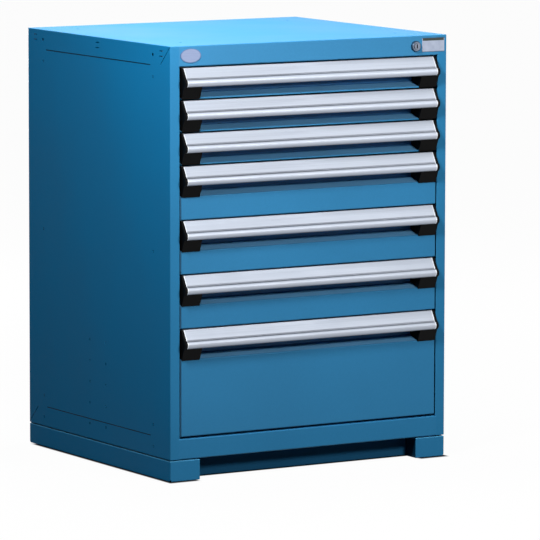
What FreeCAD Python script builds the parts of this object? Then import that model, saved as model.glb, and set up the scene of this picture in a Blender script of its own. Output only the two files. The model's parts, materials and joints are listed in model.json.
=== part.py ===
import FreeCAD
import Part
import math
import os

# Modular drawer cabinet: a sheet steel housing on a low base, seven drawers that pull right out on
# roller carriages, and one key lock that bars them all.
# Millimetres. X to the right seen from the front, Y to the back, Z up.
# The origin is on the floor, under the middle of everything that is there, handles included.

Vector = FreeCAD.Vector

# Overall sizes of the housing and its base
HOUSING_WIDTH = 762.0
HOUSING_DEPTH = 685.8
BASE_HEIGHT = 50.8
DRAWER_PITCHES = [76.2, 76.2, 76.2, 127.0, 127.0, 127.0, 254.0]

# Housing sheet work
SHEET = 1.5
BEND = 1.0
STRIP_HEIGHT = 48.0
JAMB_WIDTH = 26.0
OPENING_RETURN = 20.0
REAR_RETURN = 20.0
SEAT_FLANGE = 15.5
BACK_FLANGE = 12.0
TOP_REAR_FOLD = 18.0
STACK_CLEARANCE = 2.8
SOFT_EDGE = 1.3

# Fine marks pressed and cut in the side panels
GROOVE_WIDTH = 2.6
GROOVE_DEPTH = 1.1
GROOVE_SETBACK_FRONT = 92.0
GROOVE_SETBACK_REAR = 89.0
MITRE_WIDTH = 1.8
MITRE_DEPTH = 1.0
MITRE_BORDER = 45.0
DASH_LENGTH = 16.0
DASH_HEIGHT = 2.0
DASH_SPACING = 12.0
DASH_DROP = 19.0
DASH_SETBACK_FRONT = 42.0
DASH_SETBACK_REAR = 37.1
MIDDLE_SHIFT = 0.1
WELD_DIAMETER = 6.5
WELD_RING = 1.7
WELD_DEPTH = 1.0
WELD_SETBACK_FRONT = 79.5
WELD_SETBACK_REAR = 74.8
FOOT_WELD_RISE = 23.2
WELD_RISE = 24.4
WELD_DROP = 24.6
LOW_WELD_AHEAD = 37.7
LOW_WELD_BEHIND = 39.5
LOW_WELD_RISE = 37.0
LOW_WELD_PITCH = 50.8
LOW_WELD_COUNT = 5

# Holes for joining cabinets side by side, and for fixing a worktop
JOIN_HOLE = 7.6
JOIN_CLEARANCE = 1.5
JOIN_DROP = 24.0
JOIN_SETBACK_FRONT = 80.0
JOIN_SETBACK_REAR = 74.8
WORKTOP_HOLE = 7.0
WORKTOP_INSET = 84.0
WORKTOP_SETBACK = 97.0

# Base
BASE_SHEET = 2.0
FOOT_WIDTH = 81.0
KICK_RECESS = 46.0
FOOT_RETURN = 66.0
KICK_LIFT = 0.6
BASE_FLANGE = 43.0
BASE_CORNER_LENGTH = 7.0
BASE_CORNER_HEIGHT = 5.0
SHADOW_GAP = 2.4
SHADOW_GAP_DEPTH = 8.0
RAIL_FLANGE = 26.0
BASE_EDGE = 1.8
ANCHOR_HOLE = 12.0
ANCHOR_SETBACK = 90.0
BASE_BOLT = 8.0
BASE_BOLT_HOLE = 8.6
BASE_BOLT_HEAD = 5.3
BASE_BOLT_NUT = 6.5
BASE_BOLT_FLATS = 13.0
BASE_BOLT_OFFSET = 27.0
BASE_BOLT_SETBACK_FRONT = 130.0
BASE_BOLT_SETBACK_REAR = 130.8

# Perforated posts that carry the slide rails
POST_WIDTH = 25.0
POST_DEPTH = 40.0
POST_FLANGE = 12.0
FRONT_POST_SETBACK = 40.0
REAR_POST_CLEARANCE = 16.0
HOOK_PITCH = 25.4
HOOK_SLOT_WIDTH = 6.0
HOOK_SLOT_HEIGHT = 14.0
HOOK_WIDTH = 4.8
HOOK_HEIGHT = 12.0
HOOK_DEPTH = 3.5
HOOK_FROM_POST_BACK = 12.0

# Slides
ROLLER_DIAMETER = 24.0
ROLLER_WIDTH = 10.0
ROLLER_CLEARANCE = 0.3
ROLLER_GAP = 1.0
AXLE_DIAMETER = 8.0
AXLE_CLEARANCE = 0.05
RAIL_SHEET = 1.5
RAIL_STOP = 1.5
CARRIAGE_SHEET = 2.0
CARRIAGE_HEIGHT = 26.0
SLIDE_CLEARANCE = 0.6
RAIL_RISE = 38.1
RAIL_GAP_FRONT = 3.8
RAIL_GAP_REAR = 21.8
CARRIAGE_GAP = 4.0
ROLLER_REAR_GAP = 5.0
ROLLERS_PER_END = 3

# Drawers
FRONT_SIDE_GAP = 4.0
FRONT_GAP = 2.4
SHALLOW_GAP = 3.5
FRONT_SHEET = 1.2
RECESS_DEPTH = 33.0
LEDGE_DROP = 70.9
LEDGE_RISE = 11.5
FRONT_TOP_DROP = 4.0
FRONT_TOP_FLANGE = 27.0
LEAST_FACE = 12.0
PAN_SHEET = 1.2
PAN_FLOOR_GAP = 6.0
PAN_TOP_GAP = 8.0
PAN_RIM = 6.0
PAN_REAR_GAP = 35.8
PULL_OUT_LOSS = 5.5

# Handle strip and its end caps
HANDLE_PROJECTION = 18.9
HANDLE_TOP_SETBACK = 2.5
HANDLE_TOP_DROP = 1.0
HANDLE_SLOPE = 30.0
HANDLE_LIP = 14.0
HANDLE_LIP_SHEET = 1.8
HANDLE_WALL = 2.2
HANDLE_BACK_SETBACK = -7.0
BEAD_RADIUS = 9.9
BEAD_DROP = 35.2
GROOVE_DROP = 24.2
HANDLE_GROOVE = 1.0
HANDLE_BORE = 4.5
FOREMOST = 180.0
LOWEST = 270.0
BEAD_SHOULDER = 132.0
BEAD_ARC_POINT = 190.0
CAP_THICKNESS = 6.3
CAP_RIM = 0.8
CAP_BLOCK_WIDTH = 48.5
CAP_TOE_DROP = 72.6
CAP_TOE_SETBACK = -1.2
CAP_BLOCK_SETBACK = -13.0

# Lock
LOCK_FROM_SIDE = 88.5
LOCK_DROP = 25.0
LOCK_COLLAR = 25.0
LOCK_COLLAR_LENGTH = 6.0
LOCK_BARREL = 19.0
LOCK_BARREL_LENGTH = 28.0
LOCK_HOLE = 19.4
LOCK_NUT_FLATS = 24.0
LOCK_NUT_LENGTH = 5.0
PLUG_DIAMETER = 15.0
PLUG_CLEARANCE = 0.06
PLUG_PROUD = 2.0
KEY_SLOT_LENGTH = 9.0
KEY_SLOT_WIDTH = 1.8
KEY_SLOT_DEPTH = 4.0
CRANK_SETBACK = 36.0
CRANK_THICKNESS = 3.5
LOCK_LIFT = 6.5
CRANK_HALF_SWING = math.radians(45.0)
CRANK_PIN = 4.0
CRANK_PIN_LENGTH = 6.5
LINK_SETBACK = 43.0
LINK_THICKNESS = 2.0
LINK_HEIGHT = 22.0
LINK_CLEARANCE = 0.5
LINK_END = 11.5
BAR_SETBACK = 46.0
BAR_DEPTH = 14.0
BAR_THICKNESS = 3.0
BAR_GAP = 0.5
BAR_FOOT_GAP = 8.0
BAR_TOP_RISE = 8.0
BAR_PIN = 5.0
BAR_TAB_SETBACK = 50.0
BAR_TAB_DEPTH = 6.0
BAR_TAB_THICKNESS = 4.0
BAR_TAB_GAP = 1.6
BAR_TAB_REACH = 16.0
CATCH_GAP = 2.5
CATCH_SHEET = 1.5
CATCH_CLEARANCE = 1.0
CATCH_HEADROOM = 0.5
CATCH_REACH = 23.5
CATCH_DEPTH = 20.0

# Plates on the top strip
BADGE_WIDTH = 55.0
BADGE_HEIGHT = 33.0
BADGE_THICKNESS = 1.2
BADGE_FROM_SIDE = 54.5
CARD_WIDTH = 63.0
CARD_HEIGHT = 33.6
CARD_THICKNESS = 0.4
CARD_FROM_SIDE = 38.5
PLATE_DROP = 23.0

# Heights and places worked out from the sizes above
HALF = HOUSING_WIDTH / 2
FRONT = -(HOUSING_DEPTH - HANDLE_PROJECTION - CAP_RIM) / 2
BACK = FRONT + HOUSING_DEPTH
MIDDLE = (FRONT + BACK) / 2 + MIDDLE_SHIFT
STACK_BOTTOM = BASE_HEIGHT + STRIP_HEIGHT + STACK_CLEARANCE
STACK_TOP = STACK_BOTTOM + sum(DRAWER_PITCHES)
OPENING_BOTTOM = STACK_BOTTOM - STACK_CLEARANCE
OPENING_TOP = STACK_TOP + STACK_CLEARANCE
TOP = OPENING_TOP + STRIP_HEIGHT
JAMB = HALF - JAMB_WIDTH
STRIP_END = JAMB + BEND + SHEET
POST_FACE = HALF - SHEET - POST_WIDTH
FRONT_END = JAMB - FRONT_SIDE_GAP
FRONT_WALL_BACK = FRONT + RECESS_DEPTH + FRONT_SHEET
RAIL_INSIDE = ROLLER_DIAMETER / 2 + ROLLER_CLEARANCE
RAIL_HALF = RAIL_INSIDE + RAIL_SHEET
RAIL_LIP = POST_FACE - RAIL_SHEET - ROLLER_GAP * 2 - ROLLER_WIDTH
CARRIAGE_OUTER = RAIL_LIP - SLIDE_CLEARANCE
CARRIAGE_INNER = CARRIAGE_OUTER - CARRIAGE_SHEET
RUNNER_LIP = CARRIAGE_INNER - SLIDE_CLEARANCE
OUTER_ROLLERS = -CARRIAGE_OUTER - ROLLER_GAP - ROLLER_WIDTH
INNER_ROLLERS = -CARRIAGE_INNER + ROLLER_GAP
PAN_SIDE = RUNNER_LIP - ROLLER_GAP * 2 - ROLLER_WIDTH - RAIL_SHEET
RAIL_FRONT = FRONT_WALL_BACK + RAIL_GAP_FRONT
RAIL_REAR = BACK - RAIL_GAP_REAR
PAN_REAR = BACK - PAN_REAR_GAP
PAN_LENGTH = PAN_REAR - FRONT_WALL_BACK
TRAVEL = PAN_LENGTH - PULL_OUT_LOSS
CARRIAGE_TRAVEL = TRAVEL / 2
POST_FRONT = FRONT + FRONT_POST_SETBACK
POST_REAR = BACK - SHEET - BACK_FLANGE - REAR_POST_CLEARANCE - POST_DEPTH
LOCK_X = HALF - LOCK_FROM_SIDE
LOCK_Z = TOP - LOCK_DROP
BAR_OUTER = POST_FACE + SHEET + BAR_GAP
BAR_TAB_RISE = RAIL_RISE + RAIL_HALF + BAR_TAB_GAP
CATCH_RISE = BAR_TAB_RISE + BAR_TAB_THICKNESS + LOCK_LIFT + CATCH_HEADROOM
CRANK_RADIUS = LOCK_LIFT / (2 * math.sin(CRANK_HALF_SWING))
SLACK = 0.01


def drawer_bottoms():
    """Height of the bottom of each drawer's place in the stack, from the top drawer down."""
    heights = []
    level = STACK_TOP
    for pitch in DRAWER_PITCHES:
        level -= pitch
        heights.append(level)
    return heights


# Drawing tools

def along_x(u, v):
    return Vector(0, u, v)


def along_y(u, v):
    return Vector(u, 0, v)


def along_z(u, v):
    return Vector(u, v, 0)


PLACES = {"x": along_x, "y": along_y, "z": along_z}
DIRECTIONS = {"x": Vector(1, 0, 0), "y": Vector(0, 1, 0), "z": Vector(0, 0, 1)}


def box(low, high):
    """Box between two corners."""
    size = [b - a for a, b in zip(low, high)]
    return Part.makeBox(size[0], size[1], size[2], Vector(*low))


def line(start, end):
    return Part.LineSegment(start, end).toShape()


def cylinder(axis, radius, start, end, at):
    """Cylinder along an axis, from start to end, about a point given in the plane across it."""
    direction = DIRECTIONS[axis]
    foot = PLACES[axis](*at) + direction * start
    return Part.makeCylinder(radius, end - start, foot, direction)


def hexagon(axis, flats, start, end, at):
    """Six-sided bar along an axis."""
    reach = flats / math.sqrt(3)
    corners = []
    for step in range(6):
        angle = math.radians(60 * step)
        corners.append((at[0] + reach * math.cos(angle), at[1] + reach * math.sin(angle)))
    return prism(corners, axis, start, end)


def extruded(edges, axis, start, end):
    """Solid from a closed chain of flat edges."""
    face = Part.Face(Part.Wire(edges))
    direction = DIRECTIONS[axis]
    face.translate(direction * start)
    return face.extrude(direction * (end - start))


def prism(points, axis, start, end):
    """Straight-sided solid from the corners of its section."""
    corners = [PLACES[axis](u, v) for u, v in points]
    edges = [line(a, b) for a, b in zip(corners, corners[1:] + corners[:1])]
    return extruded(edges, axis, start, end)


def corner(before, at, after, radius):
    """Start, middle and end of the arc that rounds one corner."""
    back = (before - at).normalize()
    ahead = (after - at).normalize()
    half = back.getAngle(ahead) / 2
    reach = radius / math.tan(half)
    bisector = (back + ahead).normalize()
    centre = at + bisector * (radius / math.sin(half))
    return at + back * reach, centre - bisector * radius, at + ahead * reach


def rounded_path(points, radii):
    """Edges of an open path whose inner corners are rounded."""
    edges = []
    last = points[0]
    for before, at, after, radius in zip(points, points[1:], points[2:], radii):
        start, middle, end = corner(before, at, after, radius)
        edges.append(line(last, start))
        edges.append(Part.Arc(start, middle, end).toShape())
        last = end
    edges.append(line(last, points[-1]))
    return edges


def folded(points, thickness, axis, start, end):
    """Folded sheet. The points are one face of its section, and the sheet is to their right."""
    steps = []
    for (u0, v0), (u1, v1) in zip(points, points[1:]):
        length = math.hypot(u1 - u0, v1 - v0)
        steps.append(((u1 - u0) / length, (v1 - v0) / length))
    normals = [(v, -u) for u, v in steps]
    given_radii = []
    other_radii = []
    others = [(points[0][0] + normals[0][0] * thickness, points[0][1] + normals[0][1] * thickness)]
    for index in range(1, len(points) - 1):
        (au, av), (bu, bv) = normals[index - 1], normals[index]
        scale = thickness / (1 + au * bu + av * bv)
        others.append((points[index][0] + (au + bu) * scale, points[index][1] + (av + bv) * scale))
        left_turn = steps[index - 1][0] * steps[index][1] > steps[index - 1][1] * steps[index][0]
        given_radii.append(BEND if left_turn else BEND + thickness)
        other_radii.append(BEND + thickness if left_turn else BEND)
    others.append((points[-1][0] + normals[-1][0] * thickness, points[-1][1] + normals[-1][1] * thickness))
    place = PLACES[axis]
    outer = [place(u, v) for u, v in points]
    inner = [place(u, v) for u, v in reversed(others)]
    edges = rounded_path(outer, given_radii)
    edges.append(line(outer[-1], inner[0]))
    edges += rounded_path(inner, list(reversed(other_radii)))
    edges.append(line(inner[-1], outer[0]))
    return extruded(edges, axis, start, end)


def joined(shapes):
    """One solid made of touching shapes."""
    return shapes[0].fuse(shapes[1:]).removeSplitter()


def mirrored(shape):
    """The same shape on the other side of the cabinet."""
    return shape.mirror(Vector(0, 0, 0), Vector(1, 0, 0))


def softened(shape, radius, wanted):
    """Shape with the edges that the test picks rounded."""
    edges = [edge for edge in shape.Edges if wanted(edge.BoundBox)]
    return shape.makeFillet(radius, edges)


def save(name, shape):
    """Writes one named piece, as one solid or a group of separate ones."""
    solids = shape.Solids
    kept = solids[0] if len(solids) == 1 else Part.makeCompound(solids)
    kept.exportStep("parts/" + name + ".step")
    print(name, len(solids), "solids", round(kept.Volume), "mm3", "valid" if kept.isValid() else "NOT VALID")


def pair(left):
    """The piece on the left and its mirror image on the right."""
    return Part.makeCompound(left.Solids + mirrored(left).Solids)


# Housing panels

def side_marks():
    """Everything pressed or cut into the left side's outer face."""
    outer = -HALF
    marks = []
    for level in (OPENING_TOP, OPENING_BOTTOM):
        low = (outer, FRONT + GROOVE_SETBACK_FRONT, level - GROOVE_WIDTH / 2)
        high = (outer + GROOVE_DEPTH, BACK - GROOVE_SETBACK_REAR, level + GROOVE_WIDTH / 2)
        marks.append(box(low, high))
    for middle_y in (FRONT + DASH_SETBACK_FRONT, MIDDLE, BACK - DASH_SETBACK_REAR):
        for offset in (-DASH_SPACING / 2, DASH_SPACING / 2):
            middle_z = TOP - DASH_DROP + offset
            low = (outer - SHEET, middle_y - DASH_LENGTH / 2, middle_z - DASH_HEIGHT / 2)
            high = (outer + SHEET * 2, middle_y + DASH_LENGTH / 2, middle_z + DASH_HEIGHT / 2)
            marks.append(box(low, high))
    for at in weld_places():
        ring = cylinder("x", WELD_DIAMETER / 2, outer, outer + WELD_DEPTH, at)
        button = cylinder("x", WELD_DIAMETER / 2 - WELD_RING, outer, outer + WELD_DEPTH, at)
        marks.append(ring.cut(button))
    for at in join_places():
        marks.append(cylinder("x", JOIN_HOLE / 2, outer - SHEET, outer + SHEET * 2, at))
    marks.append(mitre_mark(FRONT, TOP, MITRE_BORDER, -MITRE_BORDER))
    marks.append(mitre_mark(BACK, BASE_HEIGHT, -MITRE_BORDER, MITRE_BORDER))
    return marks


def join_places():
    """Centres of the holes that join cabinets side by side."""
    return [(y, TOP - JOIN_DROP) for y in (FRONT + JOIN_SETBACK_FRONT, BACK - JOIN_SETBACK_REAR)]


def weld_places():
    """Centres of the weld rings on a side: a column near each end, and two short ones low in the middle."""
    heights = [
        BASE_HEIGHT + FOOT_WELD_RISE,
        STACK_BOTTOM + WELD_RISE,
        (STACK_BOTTOM + STACK_TOP) / 2,
        STACK_TOP - WELD_DROP,
    ]
    places = [(y, z) for y in (FRONT + WELD_SETBACK_FRONT, BACK - WELD_SETBACK_REAR) for z in heights]
    for step in range(LOW_WELD_COUNT):
        height = BASE_HEIGHT + LOW_WELD_RISE + LOW_WELD_PITCH * step
        places += [(MIDDLE - LOW_WELD_AHEAD, height), (MIDDLE + LOW_WELD_BEHIND, height)]
    return places


def mitre_mark(corner_y, corner_z, run_y, run_z):
    """Fine line where two borders of the side meet, from a corner of the side inwards."""
    half = MITRE_WIDTH / math.sqrt(2) / 2
    sign = math.copysign(1, run_y * run_z)
    points = [
        (corner_y - half, corner_z + sign * half),
        (corner_y + half, corner_z - sign * half),
        (corner_y + run_y + half, corner_z + run_z - sign * half),
        (corner_y + run_y - half, corner_z + run_z + sign * half),
    ]
    return prism(points, "x", -HALF, -HALF + MITRE_DEPTH)


def side_panel():
    """Left side: wall, front jamb, rear flange and seats. The jamb's return leaves room for the strips."""
    top = TOP - SHEET
    plan = [
        (-JAMB, FRONT + OPENING_RETURN),
        (-JAMB, FRONT),
        (-HALF, FRONT),
        (-HALF, BACK),
        (-HALF + REAR_RETURN, BACK),
    ]
    wall = folded(plan, SHEET, "z", BASE_HEIGHT, top)
    inner = -HALF + SHEET
    seats = []
    for low_z in (BASE_HEIGHT, top - SHEET):
        low = (inner - SHEET / 2, FRONT + SHEET / 2, low_z)
        high = (inner + SEAT_FLANGE, BACK - SHEET / 2, low_z + SHEET)
        seats.append(box(low, high))
        low = (inner, FRONT + SHEET / 2, low_z)
        high = (-STRIP_END, FRONT + OPENING_RETURN - BEND, low_z + SHEET)
        seats.append(box(low, high))
    wall = joined([wall] + seats)
    wall = softened(wall, SOFT_EDGE, on_outline(-HALF, -JAMB, BASE_HEIGHT))
    room = []
    for low_z, high_z in ((0, OPENING_BOTTOM), (OPENING_TOP, TOP)):
        low = (-STRIP_END, FRONT - SHEET, low_z)
        room.append(box(low, (-JAMB + SHEET, FRONT + OPENING_RETURN + SHEET, high_z)))
    return wall.cut(room + side_marks())


def on_outline(outer, inner, level):
    """Test for the edges at one height that run along the front, side and back of a left-hand piece."""
    bend = BEND + BASE_SHEET + SLACK

    def wanted(bounds):
        flat = abs(bounds.ZMin - level) < SLACK and abs(bounds.ZMax - level) < SLACK
        on_front = bounds.YMax < FRONT + bend and bounds.XMax < inner + SLACK
        on_side = bounds.XMax < outer + bend and bounds.YMax < BACK + SLACK
        at_edge = abs(bounds.XMin - outer) < SLACK or abs(bounds.YMin - FRONT) < SLACK
        return flat and at_edge and (on_front or on_side)

    return wanted


def top_panel():
    """Flat top with the front strip above the drawers, and its holes for a worktop."""
    section = [
        (FRONT + OPENING_RETURN, OPENING_TOP),
        (FRONT, OPENING_TOP),
        (FRONT, TOP),
        (BACK, TOP),
    ]
    middle = folded(section, SHEET, "x", -STRIP_END, STRIP_END)
    full = folded(section, SHEET, "x", -HALF, HALF)
    plate = full.common(box((-HALF, FRONT, TOP - SHEET), (HALF, BACK, TOP)))
    rear_section = [(BACK - REAR_RETURN, TOP), (BACK, TOP), (BACK, TOP - TOP_REAR_FOLD)]
    rear_end = HALF - REAR_RETURN
    rear = folded(rear_section, SHEET, "x", -rear_end, rear_end)
    whole = joined([middle, plate, rear])

    def side_edge(bounds):
        return bounds.ZMin > TOP - SLACK and bounds.XLength < SLACK and bounds.YLength > HOUSING_DEPTH / 2

    whole = softened(whole, SOFT_EDGE, side_edge)
    holes = [cylinder("z", WORKTOP_HOLE / 2, TOP - SHEET * 2, TOP + SHEET, at) for at in worktop_places()]
    strip_hole = cylinder("y", LOCK_HOLE / 2, FRONT - SHEET, FRONT + SHEET * 2, (LOCK_X, LOCK_Z))
    return whole.cut(holes + [strip_hole])


def worktop_places():
    """Centres of the four worktop holes."""
    reach = HALF - WORKTOP_INSET
    rows = (FRONT + WORKTOP_SETBACK, BACK - WORKTOP_SETBACK)
    return [(x, y) for x in (-reach, reach) for y in rows]


def back_panel():
    """Back sheet, with a flange folded forward along each side."""
    edge = HALF - SHEET - BEND
    section = [
        (-edge, BACK - SHEET - BACK_FLANGE),
        (-edge, BACK - SHEET),
        (edge, BACK - SHEET),
        (edge, BACK - SHEET - BACK_FLANGE),
    ]
    return folded(section, SHEET, "z", BASE_HEIGHT + SHEET, TOP - SHEET * 2)


def floor_panel():
    """Floor of the housing with the front strip below the drawers."""
    rear = BACK - SHEET
    section = [
        (rear, BASE_HEIGHT),
        (FRONT, BASE_HEIGHT),
        (FRONT, OPENING_BOTTOM),
        (FRONT + OPENING_RETURN, OPENING_BOTTOM),
    ]
    middle = folded(section, SHEET, "x", -STRIP_END, STRIP_END)
    edge = HALF - SHEET - SEAT_FLANGE
    low = (-edge, FRONT + OPENING_RETURN, BASE_HEIGHT)
    wide = box(low, (edge, rear, BASE_HEIGHT + SHEET))
    holes = [cylinder("z", BASE_BOLT_HOLE / 2, 0, TOP / 2, at) for at in bolt_places()]
    return joined([middle, wide]).cut(holes)


# Base

def bolt_places():
    """Centres of the bolts that hold the housing on its base."""
    reach = HALF - BASE_BOLT_OFFSET
    rows = (FRONT + BASE_BOLT_SETBACK_FRONT, MIDDLE, BACK - BASE_BOLT_SETBACK_REAR)
    return [(x, y) for x in (-reach, reach) for y in rows]


def base_side():
    """Left run of the base: front foot, floor flange, and a raised, set-in top flange under the housing."""
    foot = -HALF + FOOT_WIDTH
    plan = [
        (foot, FRONT + FOOT_RETURN),
        (foot, FRONT),
        (-HALF, FRONT),
        (-HALF, BACK),
        (-HALF + REAR_RETURN, BACK),
    ]
    shoulder = BASE_HEIGHT - SHADOW_GAP
    wall = folded(plan, BASE_SHEET, "z", 0, shoulder)
    skin = BASE_SHEET / 2
    step = SHADOW_GAP_DEPTH
    web = step + BASE_SHEET
    full = BASE_SHEET + BASE_FLANGE
    flanges = []
    for inset, reach, front_reach, low_z, high_z in (
        (skin, full, KICK_RECESS - skin, 0, BASE_SHEET),
        (skin, web, web, shoulder - BASE_SHEET, shoulder),
        (step, web, web, shoulder - BASE_SHEET, BASE_HEIGHT),
        (step, full, KICK_RECESS - skin, BASE_HEIGHT - BASE_SHEET, BASE_HEIGHT),
    ):
        low = (-HALF + inset, FRONT + inset, low_z)
        flanges.append(box(low, (-HALF + reach, BACK - BASE_SHEET - RAIL_FLANGE, high_z)))
        flanges.append(box(low, (foot - inset, FRONT + front_reach, high_z)))
    whole = joined([wall] + flanges)
    for level in (shoulder, 0):
        whole = softened(whole, BASE_EDGE, on_outline(-HALF, foot, level))
    holes = [cylinder("z", BASE_BOLT_HOLE / 2, BASE_HEIGHT / 2, BASE_HEIGHT * 2, at) for at in bolt_places()]
    for at in anchor_places():
        holes.append(cylinder("z", ANCHOR_HOLE / 2, -BASE_SHEET, BASE_HEIGHT / 2, at))
    for edge_y, run in ((FRONT, BASE_CORNER_LENGTH), (BACK, -BASE_CORNER_LENGTH)):
        notch = [
            (edge_y - run, -BASE_CORNER_HEIGHT),
            (edge_y - run, BASE_CORNER_HEIGHT),
            (edge_y, BASE_CORNER_HEIGHT),
            (edge_y + run, 0),
            (edge_y + run, -BASE_CORNER_HEIGHT),
        ]
        holes.append(prism(notch, "x", -HALF - BASE_SHEET, -HALF + BASE_SHEET + BEND))
    return whole.cut(holes)


def anchor_places():
    """Centres of the floor anchor holes."""
    reach = HALF - BASE_BOLT_OFFSET
    return [(x, y) for x in (-reach, reach) for y in (FRONT + ANCHOR_SETBACK, BACK - ANCHOR_SETBACK)]


def kick_panel():
    """Set-back front panel of the base, between the feet."""
    end = HALF - FOOT_WIDTH
    face = FRONT + KICK_RECESS
    section = [
        (face + RAIL_FLANGE, KICK_LIFT),
        (face, KICK_LIFT),
        (face, BASE_HEIGHT),
        (face + RAIL_FLANGE, BASE_HEIGHT),
    ]
    return folded(section, BASE_SHEET, "x", -end, end)


def base_rear_rail():
    """Rear cross rail of the base, between the side runs."""
    end = HALF - BASE_SHEET - BEND
    face = BACK - BASE_SHEET
    section = [
        (face - RAIL_FLANGE, BASE_HEIGHT),
        (face, BASE_HEIGHT),
        (face, 0),
        (face - RAIL_FLANGE, 0),
    ]
    return folded(section, BASE_SHEET, "x", -end, end)


def base_bolts():
    """Bolts and nuts between the base and the housing."""
    pieces = []
    under = BASE_HEIGHT - BASE_SHEET
    over = BASE_HEIGHT + SHEET
    for at in bolt_places():
        head = hexagon("z", BASE_BOLT_FLATS, under - BASE_BOLT_HEAD, under, at)
        shank = cylinder("z", BASE_BOLT / 2, under - BASE_BOLT_HEAD, over + BASE_BOLT_NUT + SHEET, at)
        bolt = joined([head, shank])
        nut = hexagon("z", BASE_BOLT_FLATS, over, over + BASE_BOLT_NUT, at)
        pieces += [bolt, nut.cut(shank)]
    return Part.makeCompound(pieces)


# Slides

def hook_heights():
    """Middle of each hook slot up the posts."""
    first = STACK_BOTTOM + HOOK_PITCH / 2
    count = int((STACK_TOP - first) / HOOK_PITCH) + 1
    return [first + HOOK_PITCH * step for step in range(count)]


def post(start_y):
    """One left-hand post: a hat section along the side wall, with slots for the rails' hooks."""
    wall = -HALF + SHEET
    end_y = start_y + POST_DEPTH
    plan = [
        (wall + SHEET, end_y + POST_FLANGE),
        (wall + SHEET, end_y),
        (-POST_FACE, end_y),
        (-POST_FACE, start_y),
        (wall + SHEET, start_y),
        (wall + SHEET, start_y - POST_FLANGE),
    ]
    whole = folded(plan, SHEET, "z", BASE_HEIGHT + SHEET, TOP - SHEET * 2)
    middle_y = end_y - HOOK_FROM_POST_BACK
    slots = []
    for height in hook_heights():
        low = (-POST_FACE - SHEET * 2, middle_y - HOOK_SLOT_WIDTH / 2, height - HOOK_SLOT_HEIGHT / 2)
        high = (-POST_FACE + SHEET, middle_y + HOOK_SLOT_WIDTH / 2, height + HOOK_SLOT_HEIGHT / 2)
        slots.append(box(low, high))
    return whole.cut(slots)


def lock_bar_windows():
    """Openings in the right front post for the lock bar's tabs and for the link at its top."""
    windows = []
    for bottom in drawer_bottoms():
        low_z = bottom + BAR_TAB_RISE - CATCH_CLEARANCE
        high_z = bottom + BAR_TAB_RISE + BAR_TAB_THICKNESS + LOCK_LIFT + CATCH_CLEARANCE
        low_y = FRONT + BAR_TAB_SETBACK - CATCH_CLEARANCE
        high_y = FRONT + BAR_TAB_SETBACK + BAR_TAB_DEPTH + CATCH_CLEARANCE
        windows.append(box((POST_FACE - SHEET, low_y, low_z), (POST_FACE + SHEET * 2, high_y, high_z)))
    half = LINK_HEIGHT / 2 + LINK_CLEARANCE * 2
    low = (POST_FACE - SHEET, POST_FRONT + SHEET, LOCK_Z - half)
    high = (POST_FACE + SHEET * 2, FRONT + BAR_SETBACK + BAR_DEPTH, LOCK_Z + half)
    windows.append(box(low, high))
    return windows


def rail_posts():
    """Two posts on each side, clear of the join bolts. The right front one has the lock bar inside."""
    radius = JOIN_HOLE / 2 + JOIN_CLEARANCE
    bolts = [cylinder("x", radius, -HALF, -HALF + POST_WIDTH / 2, at) for at in join_places()]
    front = post(POST_FRONT).cut(bolts)
    rear = post(POST_REAR).cut(bolts)
    front_right = mirrored(front).cut(lock_bar_windows())
    return Part.makeCompound(front.Solids + rear.Solids + mirrored(rear).Solids + front_right.Solids)


def slide_rail(height):
    """Left-hand fixed rail at one height, with its end stops and the hooks that hold it."""
    section = [
        (-RAIL_LIP, height - RAIL_HALF),
        (-POST_FACE, height - RAIL_HALF),
        (-POST_FACE, height + RAIL_HALF),
        (-RAIL_LIP, height + RAIL_HALF),
    ]
    channel = folded(section, RAIL_SHEET, "y", RAIL_FRONT, RAIL_REAR)
    pieces = [channel]
    for start in (RAIL_FRONT, RAIL_REAR - RAIL_STOP):
        low = (-POST_FACE + RAIL_SHEET / 2, start, height - RAIL_INSIDE - RAIL_SHEET / 2)
        high = (-RAIL_LIP - ROLLER_GAP, start + RAIL_STOP, height + RAIL_INSIDE + RAIL_SHEET / 2)
        pieces.append(box(low, high))
    for start_y in (POST_FRONT, POST_REAR):
        middle_y = start_y + POST_DEPTH - HOOK_FROM_POST_BACK
        low = (-POST_FACE - HOOK_DEPTH, middle_y - HOOK_WIDTH / 2, height - HOOK_HEIGHT / 2)
        high = (-POST_FACE + RAIL_SHEET / 2, middle_y + HOOK_WIDTH / 2, height + HOOK_HEIGHT / 2)
        pieces.append(box(low, high))
    return joined(pieces)


def cabinet_rails():
    """A pair of fixed rails for every drawer."""
    pieces = []
    for bottom in drawer_bottoms():
        pieces += pair(slide_rail(bottom + RAIL_RISE)).Solids
    return Part.makeCompound(pieces)


def spread(first, last):
    """Evenly spaced places for one end's rollers."""
    step = (last - first) / (ROLLERS_PER_END - 1)
    return [first + step * index for index in range(ROLLERS_PER_END)]


def rail_roller_places():
    """Places along Y of the rollers that run in the fixed rail, with the drawer shut."""
    radius = ROLLER_DIAMETER / 2
    first = RAIL_FRONT + RAIL_STOP + ROLLER_GAP + radius + CARRIAGE_TRAVEL
    return spread(first, RAIL_REAR - RAIL_STOP - ROLLER_REAR_GAP - radius)


def runner_roller_places():
    """Places along Y of the rollers that run in the drawer's runner, with the drawer shut."""
    radius = ROLLER_DIAMETER / 2
    first = RAIL_FRONT + RAIL_STOP + ROLLER_GAP + radius
    return spread(first, PAN_REAR - RAIL_STOP - ROLLER_GAP / 2 - radius - CARRIAGE_TRAVEL)


def axle_ends():
    """Both kinds of roller: the places along Y, and where its axle starts and ends along X, on the left."""
    skin = CARRIAGE_SHEET / 2
    return [
        (rail_roller_places(), OUTER_ROLLERS, -CARRIAGE_OUTER + skin),
        (runner_roller_places(), -CARRIAGE_INNER - skin, INNER_ROLLERS + ROLLER_WIDTH),
    ]


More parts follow.
